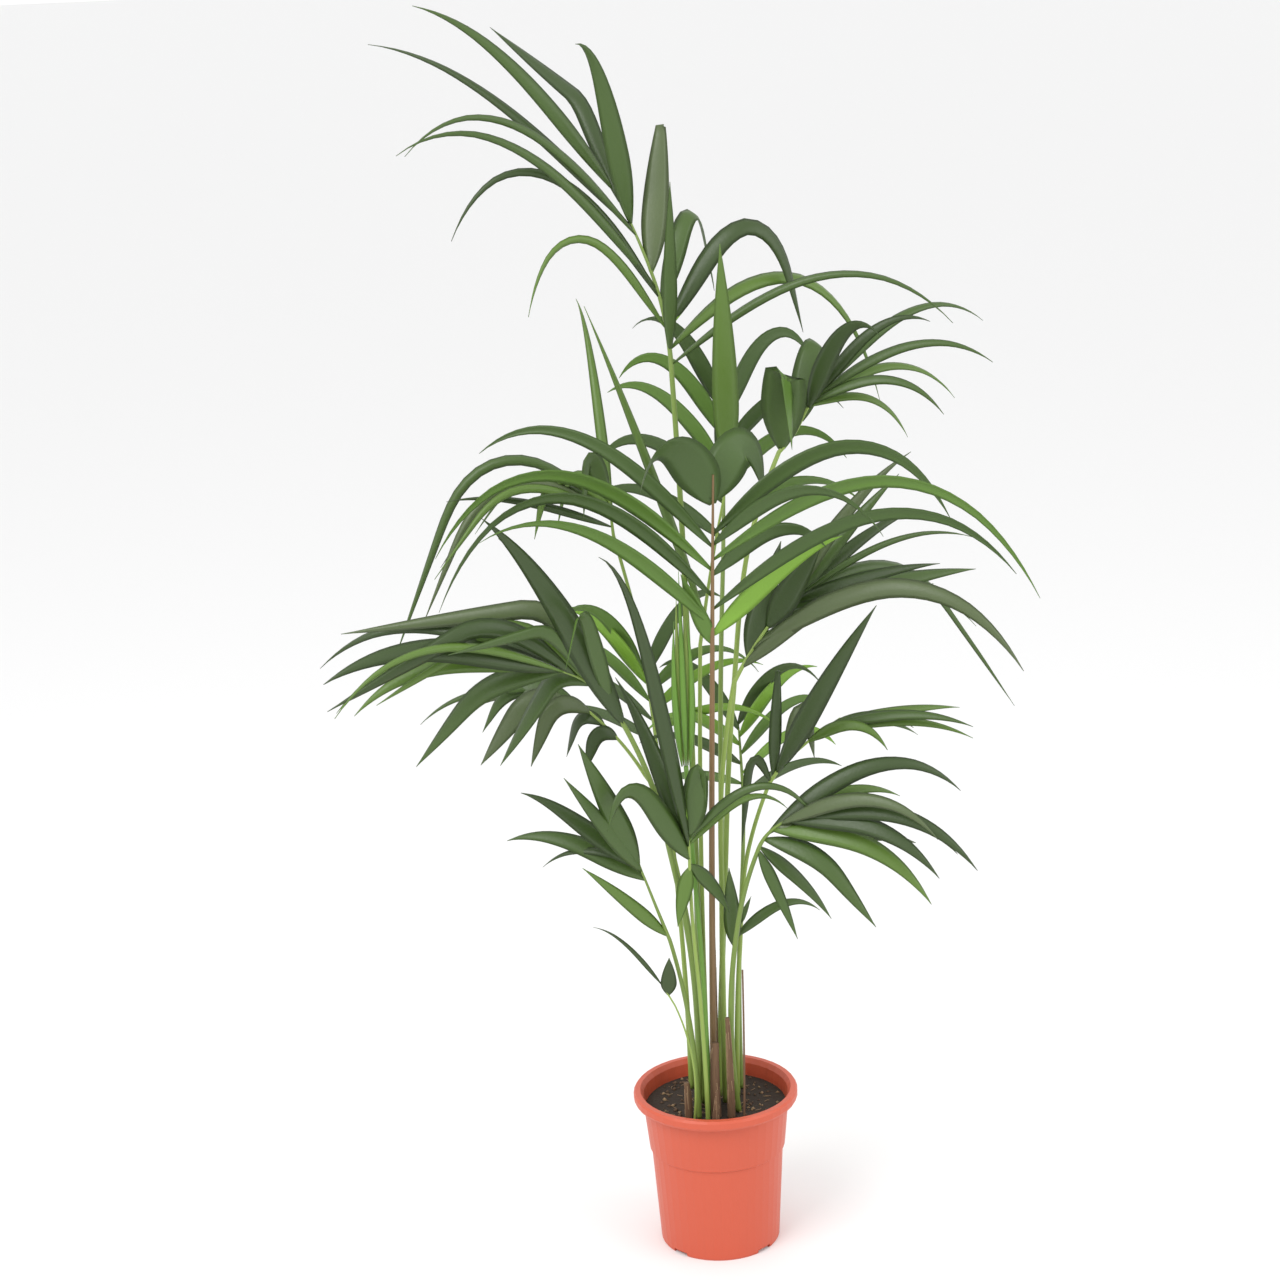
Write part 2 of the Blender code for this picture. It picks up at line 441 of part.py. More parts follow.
def make_fronds(leaf, stalk_surface):
    parts = {frond.name: stalk_and_rib(frond) for frond in FRONDS}
    stumps = [stump_shape(stump) for stump in STUMPS] + [spear_shape()]
    taken = {"stumps": [tree_of(shape) for shape in stumps]}
    for name, (lower, upper, _) in parts.items():
        taken[name] = [tree_of(lower), tree_of(upper)]
    for frond in FRONDS:
        lower, upper, rib = parts[frond.name]
        mesh_object("stalk_" + frond.name, *lower, stalk_surface)
        others = [tree for name, trees in taken.items() for tree in trees if name != frond.name]
        leaflets = grow_leaflets(frond, rib, [*others, tree_of(lower)])
        fused("frond_" + frond.name, upper, leaflets, leaf)
        taken[frond.name] += [tree_of(shape) for shape in leaflets]


def stump_shape(stump):
    path = smooth_curve(stalk_points(stump.points), 6)
    return tube(path, np.linspace(stump.girth, stump.tip, len(path)), 8)


def make_stumps(fibre):
    for stump in STUMPS:
        mesh_object(stump.name, *stump_shape(stump), fibre)


def spear_shape():
    """The unopened frond: a thin stalk that widens into a flat folded blade and closes to a point."""
    stalk = smooth_curve(stalk_points(SPEAR_STALK), 12)
    top = [stalk[-1] + UP * SPEAR_LENGTH * u for u in (0.12, 0.3, 0.55, 0.8, 1.0)]
    path = np.array([*stalk, *top])
    wide = [SPEAR_GIRTH] * len(stalk) + [SPEAR_WIDTH * w / 2 for w in (0.7, 1.0, 0.9, 0.55, 0.12)]
    deep = [SPEAR_GIRTH] * len(stalk) + [SPEAR_DEPTH * w / 2 for w in (0.8, 1.0, 0.8, 0.5, 0.2)]
    points = []
    for centre, a, b, (across, upper) in zip(path, wide, deep, frames_along(path, np.array((0.0, -1.0, 0.1)))):
        for j in range(STALK_SIDES):
            angle = 2 * np.pi * j / STALK_SIDES
            points.append(above_soil(centre + a * np.cos(angle) * across + b * np.sin(angle) * upper))
    return points, ring_faces(len(path), STALK_SIDES)


def lathe(profile, sides):
    """Points and faces of a solid turned from a closed profile of (radius, height) that starts and ends on the axis."""
    points, faces = [(0.0, 0.0, profile[0][1])], []
    for radius, height in profile[1:-1]:
        for j in range(sides):
            angle = 2 * np.pi * j / sides
            points.append((radius * np.cos(angle), radius * np.sin(angle), height))
    points.append((0.0, 0.0, profile[-1][1]))
    rings = len(profile) - 2
    for j in range(sides):
        k = (j + 1) % sides
        faces.append((0, 1 + k, 1 + j))
        for i in range(rings - 1):
            low = 1 + i * sides
            faces.append((low + j, low + k, low + sides + k, low + sides + j))
        last = 1 + (rings - 1) * sides
        faces.append((last + j, last + k, len(points) - 1))
    return points, faces


def inner_radius(height):
    """Radius of the pot's inside at a height."""
    radii = [radius for radius, _ in POT_OUTSIDE[:5]]
    heights = [height for _, height in POT_OUTSIDE[:5]]
    return float(np.interp(height, heights, radii)) - POT_WALL


def make_pot(surface):
    inside = [(POT_MOUTH, POT_HEIGHT), (POT_MOUTH - 0.004, 0.200)]
    inside += [(inner_radius(height), height) for height in (0.190, 0.130, 0.126, POT_FLOOR)]
    profile = [(0.0, 0.0), *POT_OUTSIDE, *inside, (0.0, POT_FLOOR)]
    pot = mesh_object("pot", *lathe(profile, POT_SIDES), surface)
    cutters = bpy.data.collections.new("notches")
    bpy.context.scene.collection.children.link(cutters)
    for i in range(NOTCH_COUNT):
        angle = np.pi / 4 + i * 2 * np.pi / NOTCH_COUNT
        bpy.ops.mesh.primitive_cube_add(size=1.0)
        cutter = bpy.context.object
        cutter.scale = (0.012, NOTCH_WIDTH, 2 * NOTCH_HEIGHT)
        cutter.location = (0.0765 * np.cos(angle), 0.0765 * np.sin(angle), 0.0)
        cutter.rotation_euler.z = angle
        for holder in list(cutter.users_collection):
            holder.objects.unlink(cutter)
        cutters.objects.link(cutter)
    cut = pot.modifiers.new("Notches", "BOOLEAN")
    cut.operation = "DIFFERENCE"
    cut.operand_type = "COLLECTION"
    cut.collection = cutters
    cut.solver = "EXACT"
    bpy.context.view_layer.update()
    graph = bpy.context.evaluated_depsgraph_get()
    made = bpy.data.meshes.new_from_object(pot.evaluated_get(graph))
    pot.modifiers.clear()
    pot.data = made
    for obj in list(cutters.objects):
        bpy.data.objects.remove(obj, do_unlink=True)
    bpy.data.collections.remove(cutters)


def make_soil(surface):
    low = POT_FLOOR + CLEAR
    heights = (low, 0.126, 0.130, SOIL_TOP)
    profile = [(0.0, low), *((inner_radius(height) - CLEAR, height) for height in heights), (0.0, SOIL_TOP)]
    mesh_object("soil", *lathe(profile, SOIL_SIDES), surface)


clear_scene()
leaf_surface = material("leaf", LEAF_GREEN, 0.45)
green_surface = material("stalk", STALK_GREEN, 0.5)
fibre_surface = material("fibre", FIBRE_BROWN, 0.9)
make_pot(material("pot", POT_ORANGE, 0.5))
make_soil(material("soil", SOIL_BROWN, 0.95))
make_fronds(leaf_surface, green_surface)
make_stumps(fibre_surface)
mesh_object("spear", *spear_shape(), leaf_surface)
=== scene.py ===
"""A kentia palm in its plastic pot, in metres with +Z up, dressed for a studio picture.

The origin is the middle of the pot's flat underside. The viewer stands on the -Y side, with +X on the right.
"""

from collections import namedtuple

import bpy
import numpy as np
from mathutils import Matrix, Vector
from mathutils.bvhtree import BVHTree


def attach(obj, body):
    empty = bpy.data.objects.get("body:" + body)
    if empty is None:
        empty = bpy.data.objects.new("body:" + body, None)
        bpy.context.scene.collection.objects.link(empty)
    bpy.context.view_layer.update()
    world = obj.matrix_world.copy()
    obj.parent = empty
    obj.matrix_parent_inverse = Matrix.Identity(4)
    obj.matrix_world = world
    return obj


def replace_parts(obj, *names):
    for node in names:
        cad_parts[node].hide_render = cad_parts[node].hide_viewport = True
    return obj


CLEAR = 0.0003  # gap between pieces that touch on the plant
UP = np.array((0.0, 0.0, 1.0))
TOWARDS_VIEWER = np.array((0.0, -1.0, 0.1))
SOIL_TOP = 0.184
SOIL_RADIUS = 0.088

# The plain shapes of stalks, ribs and blades, which are tried against each other to keep the leaflets clear.
STALK_SIDES = 6
STUMP_SIDES = 8
RIB_TAPER = 0.7  # radius where the rib starts, as a share of that at the soil
TIP_RADIUS = 0.0012
SEAT = 0.015  # how far the rib's shape reaches down the stalk
CURVE_STEPS = 16
LEAST_STEP = 0.002
PATH_STEPS = 20
BLADE_PLACES = (0.0, 0.12, 0.32, 0.55, 0.78, 1.0)
SHORT_BEND = 0.65  # a bend over a smaller share of the leaflet has places of its own
LEAST_SPACING = 0.035
BLADE_SLENDERNESS = 88.0  # a blade's length over the height of its ridge
RIDGE_FALL = 0.45  # share of the ridge's height lost by the tip
WIDEST_AT = 0.32
BASE_WIDTH = 0.15
TIP_POWER = 1.7
LEAST_WIDTH = 0.0018
BLADE_MARGIN = 0.0008  # how much larger a blade is while it is tried
FRONT_SHARE = 0.97
FRONT_RISE = 0.25
UPPER_RISE = 0.5
LEANS = (0.22, -0.3, 0.38, -0.12, 0.3, -0.38, 0.1)
LEAN_TRIALS = (0.0, 0.12, -0.12, 0.24, -0.24, 0.36, -0.36, 0.48, -0.48, 0.6, -0.6)

# The fine shapes that show.
FINE_STATIONS = 25
FINE_RING = 8
BLADE_THICKNESS = 0.0004
TIP_NARROWING = 0.6
FOLD_LIMIT = 0.9  # most that the fold rises, as a share of half the width
FOLD_AT_MIDDLE = 0.42
PLEAT = 0.04
FINE_SIDES = 12
STUMP_STEPS = 60
FINE_STUMP_SIDES = 16
THINNEST_WRAPPED = 0.003
STRANDS_PER_STUMP = 34
SHORTEST_STRAND = 6
STRAND_RADIUS = 0.0005
STRAND_TWIST = 0.5
STRAW_SHARE = 0.45
SPEAR_LEAVES = 5
SPEAR_LEAF_WIDTH = 0.0085
CHIP_COUNT = 170
CHIP_SIZES = (0.0012, 0.0045)
DARK_CHIP_SHARE = 0.65
LITTER_COUNT = 70
LITTER_STEPS = 5
LITTER_RADIUS = 0.0004

# Upper sides of the blades, then their undersides, dealt out leaflet by leaflet by these shares. The underside
# colours are the blade's paler own colour, brightened towards yellow-green as painted light shining through
# the blade.
UPPER_COLOURS = (
    (0.032, 0.060, 0.011),
    (0.052, 0.098, 0.016),
    (0.090, 0.165, 0.022),
    (0.080, 0.112, 0.042),
)
UNDERSIDE_AND_SHINE_THROUGH_COLOURS = ((0.048, 0.094, 0.015), (0.090, 0.180, 0.022), (0.180, 0.350, 0.030))
UPPER_SHARES = (0.3, 0.35, 0.22, 0.13)
UNDERSIDE_AND_SHINE_THROUGH_SHARES = (0.45, 0.35, 0.2)
STALK_COLOURS = ((0.16, 0.24, 0.045), (0.24, 0.34, 0.070), (0.20, 0.12, 0.050))
SPEAR_COLOUR = (0.13, 0.27, 0.035)
FIBRE_COLOURS = ((0.15, 0.085, 0.045), (0.34, 0.23, 0.13))
POT_ORANGE = (0.56, 0.090, 0.042)
SOIL_BROWN = (0.035, 0.024, 0.017)
CHIP_COLOURS = ((0.30, 0.20, 0.11), (0.11, 0.065, 0.038))
FLOOR_PALE = (0.86, 0.86, 0.86)

Finish = namedtuple("Finish", "roughness grain relief stretch")
EVEN = (1.0, 1.0, 1.0)
UPPER_FINISH = Finish(0.42, 320.0, 0.25, EVEN)
UNDER_FINISH = Finish(0.5, 320.0, 0.2, EVEN)
STALK_FINISH = Finish(0.45, 90.0, 0.3, (1, 1, 0.1))
FIBRE_FINISH = Finish(0.85, 420.0, 0.9, (1, 1, 0.08))
SPEAR_FINISH = Finish(0.42, 200.0, 0.3, EVEN)
SPEAR_FOLD_FINISH = Finish(0.45, 200.0, 0.3, EVEN)
CHIP_FINISH = Finish(0.85, 600.0, 0.6, EVEN)
LITTER_FINISH = Finish(0.8, 600.0, 0.4, EVEN)
POT_FINISH = Finish(0.42, 500.0, 0.15, EVEN)
SOIL_FINISH = Finish(0.95, 260.0, 1.0, EVEN)
FLOOR_FINISH = Finish(0.8, 40.0, 0.02, EVEN)
ROUGHNESS_SPREAD = 0.1
RELIEF_DEPTH = 0.001
NOISE_DETAIL = 4.0

FLOOR_REACH = 300
SKY_STRENGTH = 1.05
LIGHTS_AIM = Vector((0, 0, 0.7))
# Each lamp: its name, its place, its side in metres and its power in watts.
LIGHTS = (("key", (-1.6, -1.8, 3.0), 1.8, 55.0), ("fill", (2.2, -1.2, 2.0), 2.0, 20.0))

CAMERA_PLACE = (-0.0715, -3.0, 1.6)
CAMERA_PITCH = 14.9  # degrees down
CAMERA_ROLL = 2.5  # degrees
CAMERA_LENS = 71.5

Frond = namedtuple("Frond", "name turn lean face girth stalk rib leaflets")
Stump = namedtuple("Stump", "name girth tip points")


def spread_leaflets(first_side, angle, angle_step, length, width, droop, droop_step, droop_cycle):
    """Nine evenly spaced leaflets, to the two sides of a rib in turn."""
    return tuple(
        (
            0.1 + 0.11 * i,
            first_side * (-1) ** i * (angle - angle_step * i),
            length + 0.01 * (i % 3),
            width,
            droop + droop_step * (i % droop_cycle),
            0.0,
            1.0,
        )
        for i in range(9)
    )


# Each frond: the way its fan turns in degrees, how far its leaflets lean to the front, which way their upper
# side looks (1 to the front, -1 to the back), its stalk's radius at the soil, then points up the stalk, the
# first of them on the soil and without a height, and points along the rib. Each leaflet: its place on the rib,
# its angle from upright in degrees with the right as plus, its length, its width, how far its own weight turns
# it down, and where along it that bend starts and ends.
FRONDS = (
    Frond("tall_left", 0, 0.0, 1, 0.0045,
          ((-0.016, 0.0), (-0.014, 0.005, 0.46), (-0.013, 0.02, 0.717), (-0.015, 0.045, 0.977),
           (-0.019, 0.06, 1.116)),
          ((-0.019, 0.06, 1.116), (-0.027, 0.075, 1.196), (-0.054, 0.10, 1.28), (-0.08, 0.125, 1.335)),
          ((0.05, 54, 0.39, 0.012, 1.5, 0.0, 1.0), (0.13, 46, 0.40, 0.020, 3.6, 0.0, 1.0),
           (0.12, 2, 0.22, 0.018, 0.0, 0.0, 1.0), (0.23, 32, 0.32, 0.025, 3.2, 0.2, 0.8),
           (0.23, -33, 0.29, 0.012, 3.0, 0.15, 1.0), (0.35, 16, 0.24, 0.026, 2.6, 0.3, 0.7),
           (0.39, -31, 0.36, 0.014, 2.0, 0.0, 1.0), (0.44, -37, 0.40, 0.014, 1.2, 0.0, 1.0),
           (0.53, 6, 0.215, 0.033, 3.0, 0.82, 0.9), (0.73, -40, 0.37, 0.012, 1.4, 0.0, 1.0),
           (0.76, -41, 0.40, 0.014, 0.65, 0.0, 1.0), (0.80, -9, 0.26, 0.028, 1.0, 0.2, 1.0),
           (0.93, -18, 0.33, 0.022, 0.62, 0.3, 0.45), (1.0, -35, 0.33, 0.020, 0.68, 0.0, 1.0))),
    Frond("upper_right", 0, 0.0, 1, 0.004,
          ((0.005, 0.02), (0.021, 0.03, 0.448), (0.041, 0.045, 0.707), (0.077, 0.07, 0.93),
           (0.11, 0.09, 1.01)),
          ((0.11, 0.09, 1.01), (0.13, 0.095, 1.032), (0.15, 0.10, 1.065), (0.166, 0.105, 1.082)),
          ((0.05, 3, 0.20, 0.055, 2.6, 0.4, 0.6), (0.5, 10, 0.15, 0.038, 2.4, 0.35, 0.9),
           (0.7, 20, 0.18, 0.025, 1.3, 0.0, 1.0), (0.72, 72, 0.15, 0.012, 2.4, 0.0, 1.0),
           (0.78, 66, 0.185, 0.014, 1.7, 0.0, 1.0), (0.85, 60, 0.22, 0.014, 1.6, 0.0, 1.0),
           (0.9, 37, 0.18, 0.016, 1.1, 0.0, 1.0), (0.93, 58, 0.235, 0.014, 1.2, 0.0, 1.0),
           (1.0, 43, 0.265, 0.014, 1.3, 0.0, 1.0))),
    Frond("middle", 0, 0.1, -1, 0.0045,
          ((-0.003, -0.02), (0.004, -0.025, 0.47), (0.009, -0.035, 0.63), (0.013, -0.05, 0.749)),
          ((0.013, -0.05, 0.749), (0.018, -0.085, 0.918), (0.021, -0.12, 1.027)),
          ((0.21, -22, 0.105, 0.020, 0.0, 0.0, 1.0), (0.25, 46, 0.20, 0.026, 0.5, 0.0, 1.0),
           (0.30, -44, 0.37, 0.020, 1.0, 0.0, 1.0), (0.37, 53, 0.42, 0.020, 1.7, 0.0, 1.0),
           (0.43, -42, 0.46, 0.020, 2.1, 0.0, 1.0), (0.53, 48, 0.17, 0.022, 1.6, 0.0, 1.0),
           (0.55, -45, 0.41, 0.020, 1.9, 0.0, 1.0), (0.60, 56, 0.47, 0.020, 2.2, 0.0, 1.0),
           (0.66, -40, 0.34, 0.020, 1.3, 0.0, 1.0), (0.67, 50, 0.26, 0.020, 1.7, 0.0, 1.0),
           (0.72, 47, 0.35, 0.022, 2.2, 0.0, 1.0), (0.86, -24, 0.175, 0.055, 2.2, 0.0, 1.0),
           (0.88, 22, 0.15, 0.050, 2.8, 0.15, 0.8))),
    Frond("right", 0, 0.0, 1, 0.004,
          ((0.013, 0.0), (0.017, 0.0, 0.46), (0.023, 0.005, 0.621), (0.042, 0.02, 0.736)),
          ((0.042, 0.02, 0.736), (0.068, 0.03, 0.777), (0.103, 0.04, 0.819), (0.135, 0.05, 0.843)),
          ((0.15, 50, 0.20, 0.020, 0.6, 0.0, 1.0), (0.25, 18, 0.15, 0.032, 0.0, 0.0, 1.0),
           (0.33, 57, 0.40, 0.028, 1.9, 0.0, 1.0), (0.45, 60, 0.305, 0.012, 1.6, 0.0, 1.0),
           (0.55, 32, 0.135, 0.035, 0.1, 0.0, 1.0), (0.6, 53, 0.47, 0.018, 1.75, 0.0, 0.6),
           (0.65, 33, 0.27, 0.020, 0.5, 0.0, 1.0), (0.66, 78, 0.20, 0.012, 0.1, 0.0, 1.0),
           (0.72, 76, 0.265, 0.030, 0.2, 0.0, 1.0), (0.83, 72, 0.20, 0.020, 0.25, 0.0, 1.0),
           (0.85, 39, 0.205, 0.020, 0.2, 0.0, 1.0), (0.93, 56, 0.24, 0.010, 0.8, 0.0, 1.0),
           (0.95, 48, 0.195, 0.018, 0.5, 0.0, 1.0))),
    Frond("left", 0, 0.1, 1, 0.0045,
          ((-0.024, -0.02), (-0.024, -0.03, 0.393), (-0.044, -0.05, 0.534),
           (-0.072, -0.085, 0.665), (-0.092, -0.1, 0.718)),
          ((-0.092, -0.1, 0.718), (-0.102, -0.105, 0.738), (-0.121, -0.115, 0.771), (-0.155, -0.13, 0.799),
           (-0.184, -0.14, 0.81)),
          ((0.05, -24, 0.34, 0.034, 0.5, 0.0, 1.0), (0.14, -24, 0.26, 0.030, 0.6, 0.0, 1.0),
           (0.27, -12, 0.225, 0.020, 1.5, 0.45, 0.75), (0.37, -25, 0.37, 0.024, 0.95, 0.05, 0.4),
           (0.52, -30, 0.24, 0.018, 0.85, 0.1, 0.5), (0.55, -62, 0.18, 0.030, 1.8, 0.0, 0.35),
           (0.60, -38, 0.30, 0.020, 1.1, 0.0, 0.5), (0.70, -45, 0.345, 0.024, 1.0, 0.0, 0.5),
           (0.78, -62, 0.33, 0.020, 1.3, 0.0, 1.0), (0.80, -66, 0.32, 0.012, 1.5, 0.0, 1.0),
           (0.85, -92, 0.22, 0.030, 1.1, 0.0, 0.6), (0.87, -72, 0.295, 0.034, 0.86, 0.0, 1.0),
           (0.92, -76, 0.30, 0.024, 1.3, 0.0, 1.0), (1.0, -80, 0.24, 0.024, 1.2, 0.0, 1.0))),
    Frond("left_low", 0, 0.0, 1, 0.0035,
          ((-0.018, 0.01), (-0.021, 0.01, 0.377), (-0.04, 0.01, 0.512), (-0.061, 0.0, 0.609),
           (-0.073, 0.0, 0.629)),
          ((-0.073, 0.0, 0.629), (-0.125, 0.02, 0.694), (-0.155, 0.03, 0.718), (-0.184, 0.04, 0.729)),
          ((0.35, -50, 0.075, 0.020, 3.0, 0.0, 0.6), (0.50, -50, 0.09, 0.020, 3.0, 0.0, 0.6),
           (0.65, -55, 0.13, 0.024, 2.5, 0.0, 0.6), (0.80, -60, 0.15, 0.026, 2.0, 0.0, 0.8),
           (0.85, -80, 0.15, 0.030, 1.4, 0.0, 0.5), (0.95, -85, 0.20, 0.010, 1.6, 0.0, 1.0),
           (1.0, -82, 0.175, 0.010, 1.1, 0.0, 1.0))),
    Frond("lower_left", 0, 0.1, 1, 0.0035,
          ((-0.023, -0.045), (-0.034, -0.05, 0.345), (-0.051, -0.06, 0.433)),
          ((-0.051, -0.06, 0.433), (-0.067, -0.065, 0.482), (-0.078, -0.07, 0.517),
           (-0.086, -0.075, 0.542)),
          ((0.05, -44, 0.155, 0.018, 0.1, 0.0, 1.0), (0.77, -56, 0.185, 0.026, 0.85, 0.0, 1.0),
           (0.88, -34, 0.185, 0.022, 0.0, 0.0, 1.0), (0.92, -50, 0.175, 0.024, 0.45, 0.5, 1.0),
           (0.97, -22, 0.20, 0.030, 0.0, 0.0, 1.0), (1.0, -70, 0.13, 0.010, 1.2, 0.0, 1.0))),
    Frond("front_low", 0, 0.0, 1, 0.003,
          ((-0.012, -0.055), (-0.016, -0.055, 0.349), (-0.022, -0.06, 0.458), (-0.023, -0.065, 0.525)),
          ((-0.023, -0.065, 0.525), (-0.023, -0.07, 0.572), (-0.024, -0.075, 0.60)),
          ((0.05, -165, 0.075, 0.020, 0.5, 0.0, 1.0), (0.10, 135, 0.09, 0.020, 1.0, 0.0, 1.0),
           (0.20, -30, 0.20, 0.030, 2.2, 0.4, 0.9), (0.30, -16, 0.235, 0.024, 0.5, 0.0, 1.0),
           (0.40, -9, 0.46, 0.020, 0.85, 0.2, 1.0), (0.45, 45, 0.165, 0.012, 1.6, 0.0, 1.0),
           (0.55, 42, 0.20, 0.012, 2.0, 0.0, 1.0), (0.60, 10, 0.135, 0.034, 3.0, 0.6, 0.8))),
    Frond("lower_right", 0, 0.1, 1, 0.004,
          ((0.028, -0.03), (0.03, -0.045, 0.416), (0.044, -0.06, 0.494), (0.06, -0.075, 0.548)),
          ((0.06, -0.075, 0.548), (0.071, -0.08, 0.57), (0.086, -0.085, 0.585), (0.103, -0.09, 0.595)),
          ((0.05, 158, 0.118, 0.016, 0.2, 0.0, 1.0), (0.12, 132, 0.14, 0.018, 0.6, 0.0, 1.0),
           (0.30, 103, 0.18, 0.026, 1.1, 0.0, 0.6), (0.45, 50, 0.27, 0.024, 1.5, 0.0, 1.0),
           (0.55, 92, 0.225, 0.028, 1.6, 0.0, 1.0), (0.60, 60, 0.175, 0.020, 1.0, 0.0, 1.0),
           (0.65, 93, 0.17, 0.030, 0.3, 0.0, 1.0), (0.75, 64, 0.22, 0.020, 1.5, 0.0, 1.0),
           (0.85, 72, 0.185, 0.022, 1.3, 0.0, 1.0), (0.90, 88, 0.21, 0.026, 1.4, 0.0, 1.0),
           (0.95, 82, 0.23, 0.024, 1.4, 0.0, 1.0), (1.0, 80, 0.25, 0.024, 1.5, 0.0, 1.0))),
    Frond("small_right", 0, 0.0, 1, 0.0035,
          ((0.029, 0.02), (0.038, 0.02, 0.383), (0.053, 0.02, 0.517), (0.081, 0.03, 0.597)),
          ((0.081, 0.03, 0.597), (0.103, 0.035, 0.626), (0.123, 0.04, 0.642), (0.175, 0.05, 0.676)),
          ((0.05, -23, 0.155, 0.014, 4.0, 0.1, 0.45), (0.10, 5, 0.16, 0.016, 3.0, 0.82, 0.9),
           (0.16, 28, 0.28, 0.028, 0.15, 0.0, 1.0), (0.33, 16, 0.135, 0.024, 3.0, 0.35, 0.6),
           (0.60, 58, 0.12, 0.016, 2.0, 0.0, 1.0), (0.70, 74, 0.15, 0.014, 1.0, 0.0, 1.0),
           (0.75, 66, 0.125, 0.014, 1.2, 0.0, 1.0), (0.80, 82, 0.19, 0.014, 0.7, 0.0, 1.0),
           (0.85, 79, 0.18, 0.016, 0.3, 0.0, 1.0), (0.88, 80, 0.185, 0.016, 0.6, 0.0, 1.0))),
    Frond("upper_left", 0, 0.0, 1, 0.003,
          ((-0.018, 0.03), (-0.014, 0.03, 0.45), (-0.042, 0.05, 0.651), (-0.071, 0.08, 0.793),
           (-0.099, 0.10, 0.912)),
          ((-0.099, 0.10, 0.912), (-0.101, 0.10, 0.938), (-0.103, 0.10, 0.963)),
          ((0.20, -69, 0.215, 0.012, 0.5, 0.0, 1.0), (0.30, -4, 0.31, 0.014, 0.88, 0.0, 1.0),
           (0.40, -56, 0.29, 0.012, 1.5, 0.0, 0.7), (0.45, -54, 0.28, 0.014, 1.7, 0.0, 0.7),
           (0.50, -56, 0.35, 0.014, 2.2, 0.0, 0.7), (0.55, -53, 0.23, 0.014, 1.6, 0.0, 0.8),
           (0.60, -47, 0.45, 0.014, 2.4, 0.0, 0.6), (0.75, -48, 0.16, 0.016, 3.5, 0.15, 0.8),
           (0.85, -40, 0.13, 0.018, 3.5, 0.15, 0.7), (1.0, -20, 0.135, 0.024, 4.0, 0.3, 0.6))),
    Frond("centre_high", 0, 0.0, 1, 0.0035,
          ((-0.008, 0.04), (0.0, 0.045, 0.709), (0.003, 0.05, 0.779)),
          ((0.003, 0.05, 0.779), (0.027, 0.05, 0.911), (0.043, 0.05, 0.986), (0.049, 0.05, 1.023)),
          ((0.15, -18, 0.47, 0.013, 0.15, 0.0, 1.0), (0.85, 0, 0.155, 0.026, 0.0, 0.0, 1.0),
           (0.90, -1, 0.30, 0.032, 0.0, 0.0, 1.0))),
    Frond("young_right", 0, 0.0, 1, 0.003,
          ((0.018, -0.012), (0.029, -0.02, 0.402)),
          ((0.029, -0.02, 0.402), (0.032, -0.02, 0.416), (0.036, -0.02, 0.432)),
          ((0.1, -2, 0.115, 0.022, 0.0, 0.0, 1.0), (0.5, 50, 0.13, 0.014, 1.4, 0.0, 1.0),
           (1.0, 22, 0.05, 0.008, 0.0, 0.0, 1.0))),
    Frond("young_left", 0, 0.0, 1, 0.0015,
          ((-0.03, -0.06), (-0.032, -0.065, 0.294), (-0.048, -0.07, 0.35)),
          ((-0.048, -0.07, 0.35), (-0.057, -0.07, 0.367), (-0.063, -0.07, 0.378)),
          ((0.5, 3, 0.055, 0.020, 0.0, 0.0, 1.0), (1.0, -36, 0.115, 0.006, 0.75, 0.0, 1.0))),
    Frond("back_high", 180, 0.0, 1, 0.004,
          ((0.012, 0.045), (0.02, 0.08, 0.45), (0.03, 0.13, 0.72), (0.04, 0.18, 0.86)),
          ((0.04, 0.18, 0.86), (0.045, 0.22, 0.94), (0.05, 0.27, 1.0), (0.05, 0.31, 1.03)),
          spread_leaflets(1, 52, 4, 0.2, 0.024, 1.2, 0.2, 4)),
    Frond("back_left", 180, 0.1, 1, 0.0035,
          ((-0.03, 0.045), (-0.035, 0.09, 0.4), (-0.045, 0.14, 0.54), (-0.055, 0.19, 0.60)),
          ((-0.055, 0.19, 0.60), (-0.06, 0.23, 0.64), (-0.065, 0.27, 0.67), (-0.07, 0.30, 0.68)),
          spread_leaflets(1, 64, 5, 0.17, 0.022, 1.0, 0.3, 3)),
    Frond("back_right", 180, 0.1, 1, 0.0035,
          ((0.035, 0.04), (0.04, 0.085, 0.36), (0.05, 0.125, 0.47), (0.055, 0.165, 0.53)),
          ((0.055, 0.165, 0.53), (0.055, 0.20, 0.57), (0.055, 0.235, 0.60), (0.055, 0.265, 0.61)),
          spread_leaflets(-1, 66, 5, 0.15, 0.022, 1.0, 0.3, 3)),
)

# What stands among the stalks: each has its radius at the soil and at its tip, and points up its middle.
STUMPS = (
    Stump("old_stem", 0.0048, 0.0035, ((0.0, -0.001), (0.002, 0.0, 0.30), (0.004, 0.001, 0.42))),
    Stump("old_sheath_front", 0.007, 0.005,
          ((-0.001, -0.043), (-0.001, -0.043, 0.24), (0.001, -0.042, 0.285))),
    Stump("old_sheath_right", 0.0055, 0.003, ((0.018, -0.046), (0.018, -0.047, 0.26), (0.017, -0.046, 0.32))),
    Stump("bud", 0.0055, 0.0012, ((-0.003, -0.066), (-0.002, -0.067, 0.20), (0.0, -0.067, 0.232))),
    Stump("stub", 0.0055, 0.004, ((-0.036, -0.04), (-0.036, -0.041, 0.215), (-0.037, -0.041, 0.232))),
    Stump("dead_stick", 0.0015, 0.0012, ((0.034, -0.05), (0.037, -0.05, 0.30), (0.038, -0.05, 0.385))),
)
SPEAR_STALK = ((-0.0085, -0.036), (-0.012, -0.036, 0.40), (-0.02, -0.037, 0.58), (-0.022, -0.038, 0.65))
SPEAR_GIRTH = 0.003
SPEAR_LENGTH = 0.245
SPEAR_WIDTH = 0.028
SPEAR_DEPTH = 0.012


def unit(vector):
    """The vector at length one."""
    return vector / np.linalg.norm(vector)


